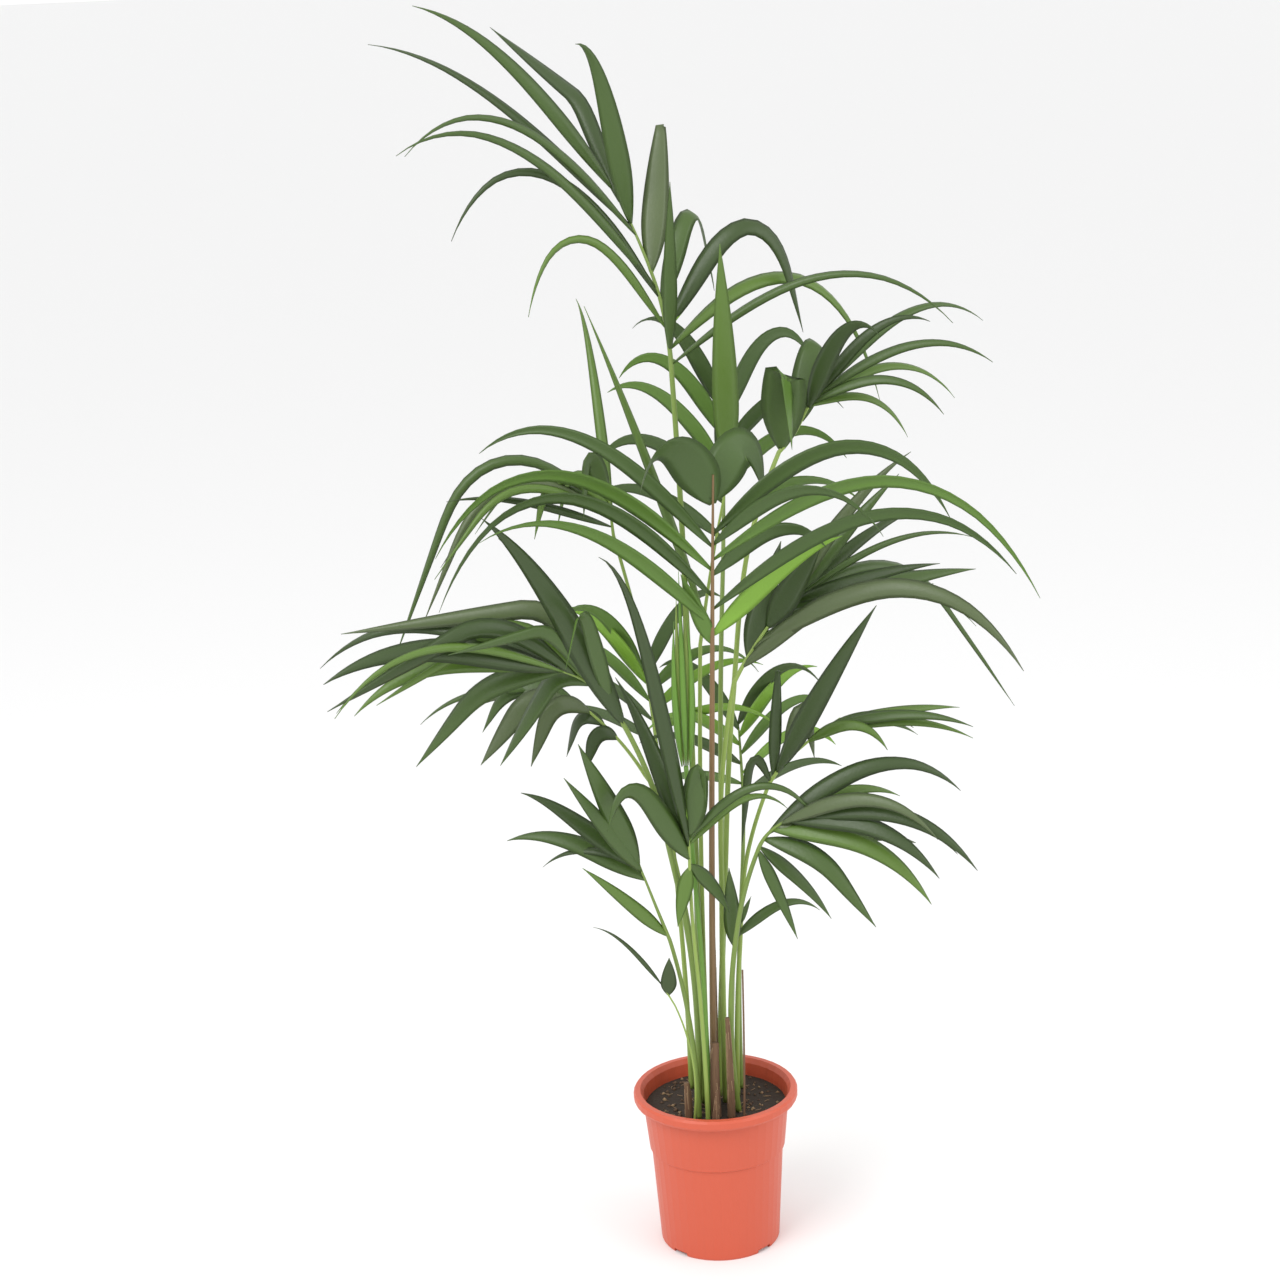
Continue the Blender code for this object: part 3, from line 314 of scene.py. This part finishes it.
def smooth_curve(points, steps):
    """A curve through the points: a cubic between each two, its slopes taken from their neighbours."""
    points = np.asarray(points, float)
    knots = np.concatenate([[0.0], np.cumsum(np.linalg.norm(np.diff(points, axis=0), axis=1))])
    slopes = np.gradient(points, knots, axis=0, edge_order=1)
    if len(points) > 2:
        slopes[0] = 2 * (points[1] - points[0]) / (knots[1] - knots[0]) - slopes[1]
        slopes[-1] = 2 * (points[-1] - points[-2]) / (knots[-1] - knots[-2]) - slopes[-2]
    rows = []
    for place in np.linspace(0.0, knots[-1], steps + 1):
        i = min(int(np.searchsorted(knots, place, side="right")) - 1, len(points) - 2)
        span = knots[i + 1] - knots[i]
        u = (place - knots[i]) / span
        rows.append(
            (2 * u**3 - 3 * u**2 + 1) * points[i]
            + (u**3 - 2 * u**2 + u) * span * slopes[i]
            + (3 * u**2 - 2 * u**3) * points[i + 1]
            + (u**3 - u**2) * span * slopes[i + 1]
        )
    return np.array(rows)


def reaches(curve):
    """How far along the curve each of its points lies."""
    return np.concatenate([[0.0], np.cumsum(np.linalg.norm(np.diff(curve, axis=0), axis=1))])


def point_at(curve, distance):
    """The point this far along a curve."""
    reach = reaches(curve)
    return np.array([np.interp(distance, reach, curve[:, axis]) for axis in range(3)])


def stretch(curve, start, end):
    """The part of a curve between two distances along it."""
    low, high = start + LEAST_STEP, end - LEAST_STEP
    inside = [point for point, reach in zip(curve, reaches(curve)) if low < reach < high]
    return np.array([point_at(curve, start), *inside, point_at(curve, end)])


def frames_along(path, upper):
    """Across and upper directions at each point, carried along the path without a twist."""
    rows = []
    for i in range(len(path)):
        ahead = unit(path[min(i + 1, len(path) - 1)] - path[max(i - 1, 0)])
        upper = unit(upper - ahead * upper.dot(ahead))
        rows.append((np.cross(ahead, upper), upper))
    return rows


def ring_faces(rings, sides):
    """Faces of a closed shape made of rings with the same number of points."""
    faces = [tuple(range(sides))]
    for i in range(rings - 1):
        for j in range(sides):
            k = (j + 1) % sides
            faces.append((i * sides + j, (i + 1) * sides + j, (i + 1) * sides + k, i * sides + k))
    faces.append(tuple(reversed(range((rings - 1) * sides, rings * sides))))
    return faces


def above_soil(point):
    """The point, lifted onto the soil if it is below."""
    return np.array((point[0], point[1], max(point[2], SOIL_TOP + CLEAR)))


def tube(path, radii, sides=STALK_SIDES):
    """Points and faces of a closed round bar along the path."""
    points = []
    for centre, radius, (across, upper) in zip(path, radii, frames_along(path, TOWARDS_VIEWER)):
        for j in range(sides):
            angle = 2 * np.pi * j / sides
            points.append(above_soil(centre + radius * (np.cos(angle) * across + np.sin(angle) * upper)))
    return points, ring_faces(len(path), sides)


def blade_width(u):
    """Width at u along a leaflet, as a share of its widest."""
    if u < WIDEST_AT:
        return BASE_WIDTH + (1.0 - BASE_WIDTH) * (1.0 - (1.0 - u / WIDEST_AT) ** 2)
    return 1.0 - ((u - WIDEST_AT) / (1.0 - WIDEST_AT)) ** TIP_POWER


def leaflet_path(root, start, length, droop, bend_from, bend_to):
    """Points along a leaflet that sets out straight and is turned down between the two ends of its bend."""
    points = [root]
    for i in range(PATH_STEPS):
        u = (i + 0.5) / PATH_STEPS
        share = min(max((u - bend_from) / (bend_to - bend_from), 0.0), 1.0)
        points.append(points[-1] + unit(start - droop * share**2 * UP) * (length / PATH_STEPS))
    return np.array(points)


def blade(path, upper, length, width, bend_from, bend_to, margin=0.0):
    """Points and faces of a leaflet: a three-sided bar with its ridge along the upper side."""
    middle = (bend_from + bend_to) / 2
    places = list(BLADE_PLACES)
    if bend_to - bend_from < SHORT_BEND:
        places += [bend_from, middle, bend_to]
    kept = []
    for place in sorted(set(places)):
        if not kept or place - kept[-1] > LEAST_SPACING:
            kept.append(place)
    kept[-1] = 1.0
    line = np.array([point_at(path, place * length) for place in kept])
    points = []
    for u, centre, (across, over) in zip(kept, line, frames_along(line, upper)):
        half = max(width * blade_width(u), LEAST_WIDTH) / 2 + margin
        ridge = length / BLADE_SLENDERNESS * (1.0 - RIDGE_FALL * u) + margin
        low = centre - over * margin
        points += [low - across * half, low + across * half, centre + over * ridge]
    return points, ring_faces(len(kept), 3)


def fan_directions(frond):
    """The way a frond's fan spreads to the right and the way it faces."""
    turn = np.radians(frond.turn)
    side = np.array((np.cos(turn), np.sin(turn), 0.0))
    front = np.array((FRONT_SHARE * np.sin(turn), -FRONT_SHARE * np.cos(turn), FRONT_RISE))
    return side, front


def stalk_points(points):
    """A stalk's points, with the first, which has no height, on the soil."""
    return ((*points[0], SOIL_TOP + CLEAR), *points[1:])


def stalk_and_rib(frond):
    """A frond's stalk and rib as two tubes that meet a hair apart, and the curve its leaflets grow from."""
    stalk = smooth_curve(stalk_points(frond.stalk), CURVE_STEPS)
    rib = smooth_curve(frond.rib, CURVE_STEPS // 2)
    total = reaches(stalk)[-1]
    lower = stretch(stalk, 0.0, total - SEAT - CLEAR)
    seat = stretch(stalk, total - SEAT, total)[:-1]
    upper = np.concatenate([seat, rib])
    at_rib = frond.girth * RIB_TAPER
    lower_radii = np.linspace(frond.girth, at_rib, len(lower))
    upper_radii = np.linspace(at_rib, TIP_RADIUS, len(upper))
    return tube(lower, lower_radii), tube(upper, upper_radii), rib


def tree_of(shape):
    """What a shape is tried against others with."""
    points, faces = shape
    return BVHTree.FromPolygons([tuple(point) for point in points], faces)


def stump_shape(stump):
    """A stump's plain shape."""
    path = smooth_curve(stalk_points(stump.points), 6)
    return tube(path, np.linspace(stump.girth, stump.tip, len(path)), STUMP_SIDES)


def spear_shape():
    """The unopened frond's plain shape: a thin stalk that widens into a flat blade and closes to a point."""
    stalk = smooth_curve(stalk_points(SPEAR_STALK), 12)
    top = [stalk[-1] + UP * SPEAR_LENGTH * u for u in (0.12, 0.3, 0.55, 0.8, 1.0)]
    path = np.array([*stalk, *top])
    wide = [SPEAR_GIRTH] * len(stalk) + [SPEAR_WIDTH * w / 2 for w in (0.7, 1.0, 0.9, 0.55, 0.12)]
    deep = [SPEAR_GIRTH] * len(stalk) + [SPEAR_DEPTH * w / 2 for w in (0.8, 1.0, 0.8, 0.5, 0.2)]
    points = []
    for centre, a, b, (across, upper) in zip(path, wide, deep, frames_along(path, TOWARDS_VIEWER)):
        for j in range(STALK_SIDES):
            angle = 2 * np.pi * j / STALK_SIDES
            points.append(above_soil(centre + a * np.cos(angle) * across + b * np.sin(angle) * upper))
    return points, ring_faces(len(path), STALK_SIDES)


def grow_leaflets(frond, rib, taken):
    """Each leaflet's path and sizes, leant forward or back until it clears everything in taken."""
    side, front = fan_directions(frond)
    length_of_rib = reaches(rib)[-1]
    grown, trees = [], []
    for i, (place, angle, length, width, droop, bend_from, bend_to) in enumerate(frond.leaflets):
        root = point_at(rib, place * length_of_rib)
        slope = np.radians(angle)
        for trial in LEAN_TRIALS:
            lean = LEANS[i % len(LEANS)] + frond.lean + trial
            start = unit(np.cos(slope) * UP + np.sin(slope) * side + lean * front)
            path = leaflet_path(root, start, length, droop, bend_from, bend_to)
            upper = frond.face * front + UPPER_RISE * UP
            tried = tree_of(blade(path, upper, length, width, bend_from, bend_to, BLADE_MARGIN))
            if not any(tried.overlap(tree) for tree in taken):
                grown.append((path, upper, length, width))
                trees.append(tree_of(blade(path, upper, length, width, bend_from, bend_to)))
                break
    return grown, trees


def fine_blade(path, upper, length, width):
    """Points and faces of a folded, pleated leaflet, and which of its faces are on its underside."""
    line = np.array([point_at(path, u * length) for u in np.linspace(0.0, 1.0, FINE_STATIONS)])
    points, faces, under = [], [], []
    for i, (centre, (across, over)) in enumerate(zip(line, frames_along(line, upper))):
        u = i / (FINE_STATIONS - 1)
        half = max(width * blade_width(u), LEAST_WIDTH * (1.0 - TIP_NARROWING * u)) / 2
        crest = min(length / BLADE_SLENDERNESS * (1.0 - RIDGE_FALL * u), half * FOLD_LIMIT)
        side = crest * FOLD_AT_MIDDLE + PLEAT * half
        left, mid_left, middle, mid_right, right = (
            centre + across * half * place + over * height
            for place, height in ((-1.0, 0.0), (-0.5, side), (0.0, crest), (0.5, side), (1.0, 0.0))
        )
        down = over * BLADE_THICKNESS
        points += [left, mid_left - down, middle - down, mid_right - down, right, mid_right, middle, mid_left]
    last = FINE_RING * (FINE_STATIONS - 1) + 1
    for i, face in enumerate(ring_faces(FINE_STATIONS, FINE_RING)):
        faces.append(face)
        under.append(0 < i < last and (i - 1) % FINE_RING < FINE_RING // 2)
    return points, faces, under


class Build:
    """Points and faces of one piece, gathered shape by shape."""

    def __init__(self):
        self.points, self.faces, self.surfaces = [], [], []

    def add(self, points, faces, surfaces):
        """One more shape, with the number of each face's material."""
        start = len(self.points)
        self.points += [tuple(float(v) for v in point) for point in points]
        self.faces += [tuple(start + i for i in face) for face in faces]
        self.surfaces += surfaces

    def piece(self, name, slot, materials):
        """All the shapes as one piece on the plant."""
        mesh = bpy.data.meshes.new(name)
        mesh.from_pydata(self.points, [], self.faces)
        for material in materials:
            mesh.materials.append(material)
        mesh.polygons.foreach_set("material_index", self.surfaces)
        mesh.polygons.foreach_set("use_smooth", [True] * len(self.faces))
        mesh.update()
        made = bpy.data.objects.new(name, mesh)
        bpy.context.scene.collection.objects.link(made)
        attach(made, "root")
        return made


def surface(name, colour, finish):
    """A plain colour whose roughness and relief vary with noise."""
    made = bpy.data.materials.new(name)
    made.use_nodes = True
    nodes, links = made.node_tree.nodes, made.node_tree.links
    shader = nodes["Principled BSDF"]
    shader.inputs["Base Color"].default_value = (*colour, 1.0)
    place = nodes.new("ShaderNodeTexCoord")
    mapping = nodes.new("ShaderNodeMapping")
    mapping.inputs["Scale"].default_value = finish.stretch
    noise = nodes.new("ShaderNodeTexNoise")
    noise.inputs["Scale"].default_value = finish.grain
    noise.inputs["Detail"].default_value = NOISE_DETAIL
    spread = nodes.new("ShaderNodeMapRange")
    spread.inputs["To Min"].default_value = finish.roughness - ROUGHNESS_SPREAD
    spread.inputs["To Max"].default_value = finish.roughness + ROUGHNESS_SPREAD
    relief = nodes.new("ShaderNodeBump")
    relief.inputs["Strength"].default_value = finish.relief
    relief.inputs["Distance"].default_value = RELIEF_DEPTH
    links.new(place.outputs["Object"], mapping.inputs["Vector"])
    links.new(mapping.outputs["Vector"], noise.inputs["Vector"])
    links.new(noise.outputs["Fac"], spread.inputs["Value"])
    links.new(spread.outputs["Result"], shader.inputs["Roughness"])
    links.new(noise.outputs["Fac"], relief.inputs["Height"])
    links.new(relief.outputs["Normal"], shader.inputs["Normal"])
    return made


def surfaces(name, colours, finish):
    """One material for each colour."""
    return [surface(f"{name}_{i}", colour, finish) for i, colour in enumerate(colours)]


def make_plant():
    """All the fronds' leaflets as one piece, and their stalks and ribs as another."""
    parts = {frond.name: stalk_and_rib(frond) for frond in FRONDS}
    stumps = [stump_shape(stump) for stump in STUMPS] + [spear_shape()]
    taken = {"stumps": [tree_of(shape) for shape in stumps]}
    for name, (lower, upper, _) in parts.items():
        taken[name] = [tree_of(lower), tree_of(upper)]
    leaves, stalks = Build(), Build()
    spray = np.random.default_rng(7)
    for number, frond in enumerate(FRONDS):
        lower, upper, rib = parts[frond.name]
        others = [tree for name, trees in taken.items() for tree in trees if name != frond.name]
        leaflets, trees = grow_leaflets(frond, rib, [*others, tree_of(lower)])
        taken[frond.name] += trees
        for path, over, length, width in leaflets:
            points, faces, under = fine_blade(path, over, length, width)
            top = int(spray.choice(len(UPPER_COLOURS), p=UPPER_SHARES))
            # The underside faces take a paler own colour that also paints light shining through the blade.
            under_and_shine_tone = len(UPPER_COLOURS) + int(spray.choice(len(UNDERSIDE_AND_SHINE_THROUGH_COLOURS), p=UNDERSIDE_AND_SHINE_THROUGH_SHARES))
            leaves.add(points, faces, [under_and_shine_tone if is_under else top for is_under in under])
        add_stalk(stalks, frond, number)
    uppers = surfaces("leaf_upper", UPPER_COLOURS, UPPER_FINISH)
    # Underside materials: paler own colour plus painted light shining through the blade.
    unders_with_painted_shine = surfaces("leaf_under_and_painted_shine_through", UNDERSIDE_AND_SHINE_THROUGH_COLOURS, UNDER_FINISH)
    made = leaves.piece("leaves", "leaf", uppers + unders_with_painted_shine)
    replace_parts(made, *("frond_" + frond.name for frond in FRONDS))
    made = stalks.piece("stalks", "stalk", surfaces("stalk", STALK_COLOURS, STALK_FINISH))
    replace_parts(made, *("stalk_" + frond.name for frond in FRONDS))


def add_stalk(stalks, frond, number):
    """A frond's stalk and rib as one smooth round bar."""
    stalk = smooth_curve(stalk_points(frond.stalk), 4 * CURVE_STEPS)
    rib = smooth_curve(frond.rib, 2 * CURVE_STEPS)
    low_radii = np.linspace(frond.girth, frond.girth * RIB_TAPER, len(stalk))
    high_radii = np.linspace(frond.girth * RIB_TAPER, TIP_RADIUS, len(rib))
    path = np.concatenate([stalk, rib[1:]])
    points, faces = tube(path, np.concatenate([low_radii, high_radii[1:]]), FINE_SIDES)
    tone = 2 if frond.name == "middle" else number % 2
    stalks.add(points, faces, [tone] * len(faces))


def make_stumps():
    """Old stems and sheaths with leaf-scar rings, wrapped in loose dry strands."""
    fibre = Build()
    ragged = np.random.default_rng(11)
    for stump in STUMPS:
        path = smooth_curve(stalk_points(stump.points), STUMP_STEPS)
        radii = np.linspace(stump.girth, stump.tip, len(path))
        ringed = radii * (0.9 + 0.07 * np.sin(np.arange(len(path)) * 1.3) ** 2)
        points, faces = tube(path, ringed, FINE_STUMP_SIDES)
        fibre.add(points, faces, [0] * len(faces))
        if stump.girth < THINNEST_WRAPPED:
            continue
        for _ in range(STRANDS_PER_STUMP):
            low, high = np.sort(ragged.uniform(0, len(path) - 1, 2)).astype(int)
            if high - low < SHORTEST_STRAND:
                continue
            first = ragged.uniform(0, 2 * np.pi)
            angle = first + np.linspace(0, ragged.uniform(-STRAND_TWIST, STRAND_TWIST), high - low)
            outward = np.stack([np.cos(angle), np.sin(angle), np.zeros(high - low)], axis=1)
            strand = path[low:high] + outward * (radii[low:high, None] * 0.93)
            points, faces = tube(strand, np.full(high - low, STRAND_RADIUS), 4)
            fibre.add(points, faces, [int(ragged.uniform() < STRAW_SHARE)] * len(faces))
    made = fibre.piece("old_stems", "fibre", surfaces("fibre", FIBRE_COLOURS, FIBRE_FINISH))
    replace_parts(made, *(stump.name for stump in STUMPS))


def make_spear():
    """Narrow leaflets still pressed together on top of their own stalk."""
    stalk = smooth_curve(stalk_points(SPEAR_STALK), 40)
    spear = Build()
    points, faces = tube(stalk, np.full(len(stalk), SPEAR_GIRTH), FINE_SIDES)
    spear.add(points, faces, [0] * len(faces))
    for i in range(SPEAR_LEAVES):
        across = i / (SPEAR_LEAVES - 1) - 0.5
        depth = 0.003 if i % 2 else -0.001
        length = SPEAR_LENGTH * (1.0 - 0.5 * abs(across))
        top = stalk[-1] + np.array((across * 0.55 * SPEAR_WIDTH, depth, length))
        low = stalk[-1] + np.array((across * 0.35 * SPEAR_WIDTH, depth, 0.0))
        bulge = (low + top) / 2 + np.array((across * 0.3 * SPEAR_WIDTH, 0.0, 0.0))
        path = smooth_curve((low, bulge, top), PATH_STEPS)
        outward = np.array((0.3 * across, -1.0, 0.0))
        points, faces, _ = fine_blade(path, outward, reaches(path)[-1], SPEAR_LEAF_WIDTH)
        spear.add(points, faces, [i % 2] * len(faces))
    leaf = surface("spear_leaf", SPEAR_COLOUR, SPEAR_FINISH)
    fold = surface("spear_fold", STALK_COLOURS[1], SPEAR_FOLD_FINISH)
    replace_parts(spear.piece("spear_leaves", "leaf", [leaf, fold]), "spear")


def place_on_soil(strewn, share, height):
    """A point strewn within this share of the soil's radius."""
    angle, reach = strewn.uniform(0, 2 * np.pi), SOIL_RADIUS * share * np.sqrt(strewn.uniform())
    return np.array((reach * np.cos(angle), reach * np.sin(angle), SOIL_TOP + height))


def add_chip(chips, strewn):
    """An uneven eight-sided chip."""
    centre = place_on_soil(strewn, 0.96, 0.0005)
    size = strewn.uniform(*CHIP_SIZES)
    shape = np.array(((1, 0, 0), (-1, 0, 0), (0, 1, 0), (0, -1, 0), (0, 0, 0.8), (0, 0, -0.4)), float)
    shape = shape * size * strewn.uniform(0.5, 1.2, (6, 1))
    spin = strewn.uniform(0, np.pi)
    turn = np.array(((np.cos(spin), -np.sin(spin), 0), (np.sin(spin), np.cos(spin), 0), (0, 0, 1)))
    faces = [(0, 2, 4), (2, 1, 4), (1, 3, 4), (3, 0, 4), (2, 0, 5), (1, 2, 5), (3, 1, 5), (0, 3, 5)]
    chips.add(shape @ turn.T + centre, faces, [int(strewn.uniform() < DARK_CHIP_SHARE)] * len(faces))


def add_fibre(fibres, strewn):
    """A short curling fibre that lies on the soil."""
    steps = [place_on_soil(strewn, 0.85, 0.001)]
    heading = strewn.uniform(0, 2 * np.pi)
    for _ in range(LITTER_STEPS):
        heading += strewn.uniform(-0.6, 0.6)
        ahead = np.array((np.cos(heading), np.sin(heading), 0.0))
        steps.append(steps[-1] + ahead * strewn.uniform(0.0012, 0.0022))
    points, faces = tube(np.array(steps), np.full(len(steps), LITTER_RADIUS), 4)
    fibres.add(points, faces, [0] * len(faces))


def make_litter():
    """Chips and fibres strewn over the soil."""
    strewn = np.random.default_rng(3)
    chips, fibres = Build(), Build()
    for _ in range(CHIP_COUNT):
        add_chip(chips, strewn)
    for _ in range(LITTER_COUNT):
        add_fibre(fibres, strewn)
    chips.piece("chips", "soil", surfaces("chip", CHIP_COLOURS, CHIP_FINISH))
    fibres.piece("litter", "soil", [surface("litter", CHIP_COLOURS[0], LITTER_FINISH)])


def dress_kept_nodes():
    """Materials for the pot and the soil, whose own shapes show."""
    for node, made in (
        ("pot", surface("pot_plastic", POT_ORANGE, POT_FINISH)),
        ("soil", surface("soil_grains", SOIL_BROWN, SOIL_FINISH)),
    ):
        bpy.data.objects[node].data.materials.clear()
        bpy.data.objects[node].data.materials.append(made)


def make_floor():
    """A pale floor that fills the picture."""
    mesh = bpy.data.meshes.new("floor")
    low, high = -FLOOR_REACH, FLOOR_REACH
    mesh.from_pydata([(low, low, 0), (high, low, 0), (high, high, 0), (low, high, 0)], [], [(0, 1, 2, 3)])
    floor = bpy.data.objects.new("floor", mesh)
    bpy.context.scene.collection.objects.link(floor)
    mesh.materials.append(surface("floor_pale", FLOOR_PALE, FLOOR_FINISH))


def make_light():
    """An even white sky and two soft lamps."""
    bpy.context.scene.view_settings.view_transform = "Standard"
    world = bpy.data.worlds.new("studio")
    world.use_nodes = True
    world.node_tree.nodes["Background"].inputs["Color"].default_value = (1.0, 1.0, 1.0, 1.0)
    world.node_tree.nodes["Background"].inputs["Strength"].default_value = SKY_STRENGTH
    bpy.context.scene.world = world
    for name, place, size, power in LIGHTS:
        light = bpy.data.lights.new(name, "AREA")
        light.size = size
        light.energy = power
        lamp = bpy.data.objects.new(name, light)
        lamp.location = place
        lamp.rotation_euler = (LIGHTS_AIM - Vector(place)).to_track_quat("-Z", "Y").to_euler()
        bpy.context.scene.collection.objects.link(lamp)


def make_camera():
    """The camera at the photograph's viewing angle."""
    pitch, roll = np.radians(CAMERA_PITCH), np.radians(CAMERA_ROLL)
    right = Vector((1.0, 0.0, 0.0))
    above = Vector((0.0, np.sin(pitch), np.cos(pitch)))
    back = Vector((0.0, -np.cos(pitch), np.sin(pitch)))
    across = right * np.cos(roll) - above * np.sin(roll)
    top = right * np.sin(roll) + above * np.cos(roll)
    turn = Matrix((across, top, back)).transposed().to_4x4()
    camera = bpy.data.objects.new("camera", bpy.data.cameras.new("camera"))
    camera.data.lens = CAMERA_LENS
    camera.matrix_world = Matrix.Translation(CAMERA_PLACE) @ turn
    bpy.context.scene.collection.objects.link(camera)
    bpy.context.scene.camera = camera


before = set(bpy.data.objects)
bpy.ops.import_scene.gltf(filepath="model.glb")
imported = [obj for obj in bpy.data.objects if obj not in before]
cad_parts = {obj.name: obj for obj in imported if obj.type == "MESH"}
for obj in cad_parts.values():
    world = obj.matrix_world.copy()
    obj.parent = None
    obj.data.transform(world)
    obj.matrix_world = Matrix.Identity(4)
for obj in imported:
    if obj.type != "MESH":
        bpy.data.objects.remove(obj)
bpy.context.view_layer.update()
make_camera()
make_floor()
make_light()
dress_kept_nodes()
make_plant()
make_stumps()
make_spear()
make_litter()
bpy.context.view_layer.update()
